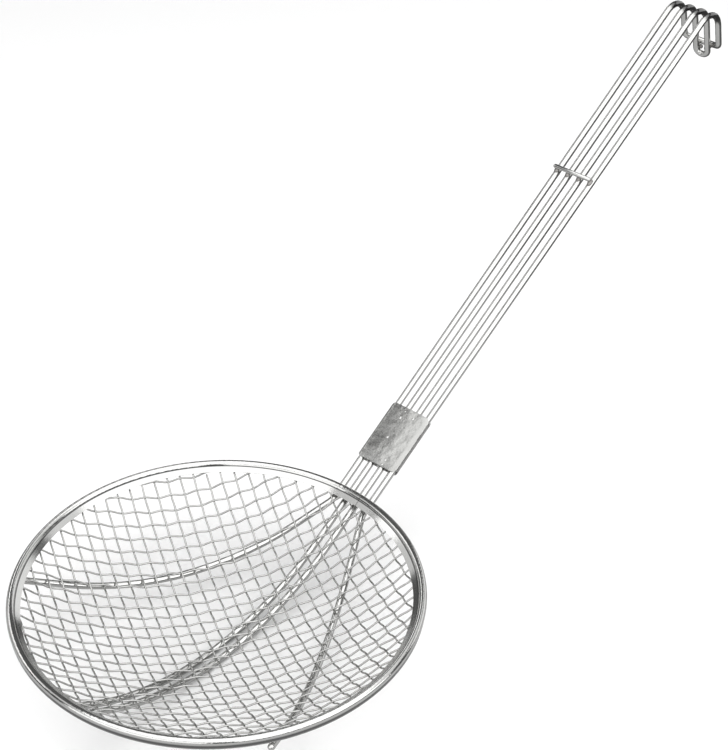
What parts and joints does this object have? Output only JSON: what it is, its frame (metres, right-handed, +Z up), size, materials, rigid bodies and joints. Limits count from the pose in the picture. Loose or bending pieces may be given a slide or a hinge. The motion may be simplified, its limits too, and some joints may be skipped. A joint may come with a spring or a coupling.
{
  "type": "spider skimmer",
  "caption": "Long-handled kitchen skimmer: shallow woven wire bowl in a folded rim, with ribs, a handle and a hanging hook bent from round wire.",
  "frame": {"origin": "on the bowl's axis, at the lowest point under the ribs, where the bowl touches the table", "axes": "+Z up along the bowl's axis, square to the rim; +X from the bowl towards the handle and hook; +Y to the left seen from the bowl along the handle"},
  "size_m": [0.5122, 0.2042, 0.2123],
  "materials": {
    "polished_wire": "polished stainless steel wire",
    "rim_strip": "polished stainless steel strip, rolled",
    "satin_sheet": "satin stainless steel sheet with small press marks",
    "mesh_wire": "bright drawn stainless steel wire, crimped and woven"
  },
  "bodies": {
    "root": {"inner_rod": "polished_wire", "outer_rod": "polished_wire", "cross_bar": "polished_wire", "rim": "rim_strip", "sleeve": "satin_sheet", "warp_wire_minus_13": "mesh_wire", "warp_wire_minus_12": "mesh_wire", "warp_wire_minus_11": "mesh_wire", "warp_wire_minus_10": "mesh_wire", "warp_wire_minus_09": "mesh_wire", "warp_wire_minus_08": "mesh_wire", "warp_wire_minus_07": "mesh_wire", "warp_wire_minus_06": "mesh_wire", "warp_wire_minus_05": "mesh_wire", "warp_wire_minus_04": "mesh_wire", "warp_wire_minus_03": "mesh_wire", "warp_wire_minus_02": "mesh_wire", "warp_wire_minus_01": "mesh_wire", "warp_wire_plus_00": "mesh_wire", "warp_wire_plus_01": "mesh_wire", "warp_wire_plus_02": "mesh_wire", "warp_wire_plus_03": "mesh_wire", "warp_wire_plus_04": "mesh_wire", "warp_wire_plus_05": "mesh_wire", "warp_wire_plus_06": "mesh_wire", "warp_wire_plus_07": "mesh_wire", "warp_wire_plus_08": "mesh_wire", "warp_wire_plus_09": "mesh_wire", "warp_wire_plus_10": "mesh_wire", "warp_wire_plus_11": "mesh_wire", "warp_edge_wires": "mesh_wire", "weft_wire_minus_13": "mesh_wire", "weft_wire_minus_12": "mesh_wire", "weft_wire_minus_11": "mesh_wire", "weft_wire_minus_10": "mesh_wire", "weft_wire_minus_09": "mesh_wire", "weft_wire_minus_08": "mesh_wire", "weft_wire_minus_07": "mesh_wire", "weft_wire_minus_06": "mesh_wire", "weft_wire_minus_05": "mesh_wire", "weft_wire_minus_04": "mesh_wire", "weft_wire_minus_03": "mesh_wire", "weft_wire_minus_02": "mesh_wire", "weft_wire_minus_01": "mesh_wire", "weft_wire_plus_00": "mesh_wire", "weft_wire_plus_01": "mesh_wire", "weft_wire_plus_02": "mesh_wire", "weft_wire_plus_03": "mesh_wire", "weft_wire_plus_04": "mesh_wire", "weft_wire_plus_05": "mesh_wire", "weft_wire_plus_06": "mesh_wire", "weft_wire_plus_07": "mesh_wire", "weft_wire_plus_08": "mesh_wire", "weft_wire_plus_09": "mesh_wire", "weft_wire_plus_10": "mesh_wire", "weft_wire_plus_11": "mesh_wire", "weft_wire_plus_12": "mesh_wire", "weft_wire_plus_13": "mesh_wire", "weft_edge_wires": "mesh_wire"}
  },
  "joints": []
}
